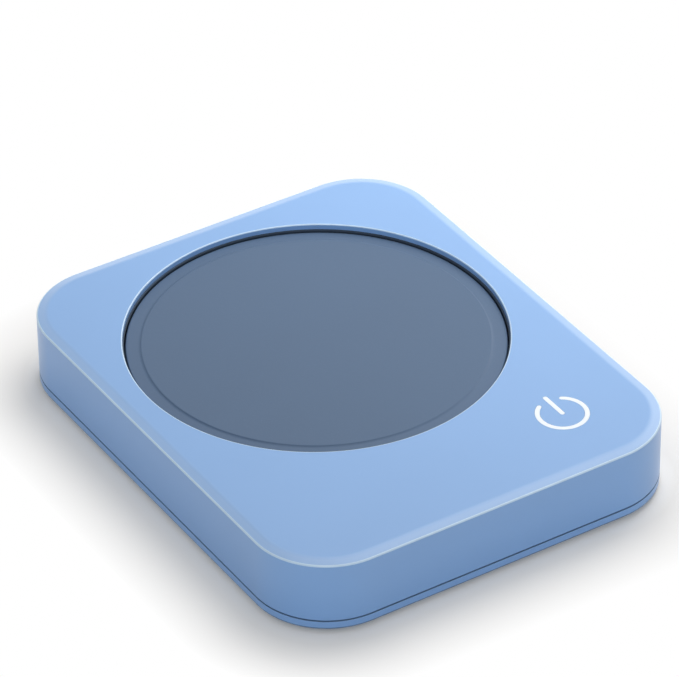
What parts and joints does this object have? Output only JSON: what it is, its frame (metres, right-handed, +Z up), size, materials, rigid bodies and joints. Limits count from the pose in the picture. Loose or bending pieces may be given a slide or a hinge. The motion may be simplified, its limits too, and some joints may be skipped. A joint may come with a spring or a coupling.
{
  "type": "electric mug warmer",
  "caption": "Flat rounded warmer with a recessed round heating plate that sinks slightly under a mug, a flush touch key, rubber feet and a cord bush at the back.",
  "frame": {"origin": "on the surface it stands on, under the middle of the housing", "axes": "+X to the right, towards the side that has the touch key, +Y to the back, where the cord leaves, +Z up"},
  "size_m": [0.105, 0.129, 0.0192],
  "materials": {
    "cover_plastic": "soft satin, fine moulded grain",
    "light_guide": "opal, smooth",
    "plate_enamel": "satin heat-proof coating on cast aluminium",
    "dark_rubber": "matte",
    "foot_rubber": "matte, soft",
    "mica": "layered mica, slightly glossy",
    "ceramic_felt": "felted fibre",
    "sheet_steel": "zinc-plated sheet",
    "spring_steel": "drawn wire",
    "screw_steel": "plated",
    "shield_aluminium": "bright rolled foil plate",
    "brass_fittings": "tinned brass",
    "board_laminate": "solder mask over glass laminate",
    "black_plastic": "fine moulded",
    "relay_plastic": "smooth moulded",
    "white_plastic": "smooth moulded",
    "lead_sleeve": "woven glass sleeve"
  },
  "bodies": {
    "housing": {"top_cover": "cover_plastic", "base_tray": "cover_plastic", "power_mark": "light_guide", "mark_led": "light_guide", "touch_spring": "spring_steel", "plate_seal": "dark_rubber", "plate_spring_left": "spring_steel", "plate_spring_right": "spring_steel", "plate_spring_front": "spring_steel", "weight_switch": "black_plastic", "switch_terminals": "brass_fittings", "heat_shield": "shield_aluminium", "control_board": "board_laminate", "board_screws": "screw_steel", "controller_chip": "black_plastic", "power_relay": "relay_plastic", "power_converter": "black_plastic", "smoothing_capacitor": "black_plastic", "mains_terminal": "relay_plastic", "board_fuse": "white_plastic", "plate_connector": "white_plastic", "heater_lead_left": "lead_sleeve", "fuse_lead": "lead_sleeve", "sensor_leads": "lead_sleeve", "switch_leads": "lead_sleeve", "housing_screws": "screw_steel", "foot_front_left": "foot_rubber", "foot_front_right": "foot_rubber", "foot_back_left": "foot_rubber", "foot_back_right": "foot_rubber", "cord_bush": "dark_rubber", "bush_fork": "black_plastic"},
    "plate_stack": {"heating_plate": "plate_enamel", "heating_element": "mica", "insulation_pad": "ceramic_felt", "clamp_plate": "sheet_steel", "clamp_screws": "screw_steel", "temperature_sensor": "mica", "thermal_fuse": "brass_fittings", "fuse_clip": "sheet_steel", "fuse_clip_screw": "screw_steel", "heater_lead_right": "lead_sleeve"},
    "plunger": {"switch_plunger": "white_plastic"}
  },
  "joints": [
    {"name": "plate_press", "type": "slide", "parent": "housing", "child": "plate_stack", "axis": [0, 0, 1], "range_m": [-0.0008, 0], "stiffness_N_per_m": 3000, "springref_m": 0.0005, "deforming": ["plate_spring_left", "plate_spring_right", "plate_spring_front", "heater_lead_left", "fuse_lead", "sensor_leads"]},
    {"name": "switch_press", "type": "slide", "parent": "housing", "child": "plunger", "axis": [0, 0, 1], "range_m": [-0.0008, 0], "stiffness_N_per_m": 60, "springref_m": 0.0002}
  ],
  "couplings": [
    {"joint": "switch_press", "follows": "plate_press", "ratio": 1}
  ]
}
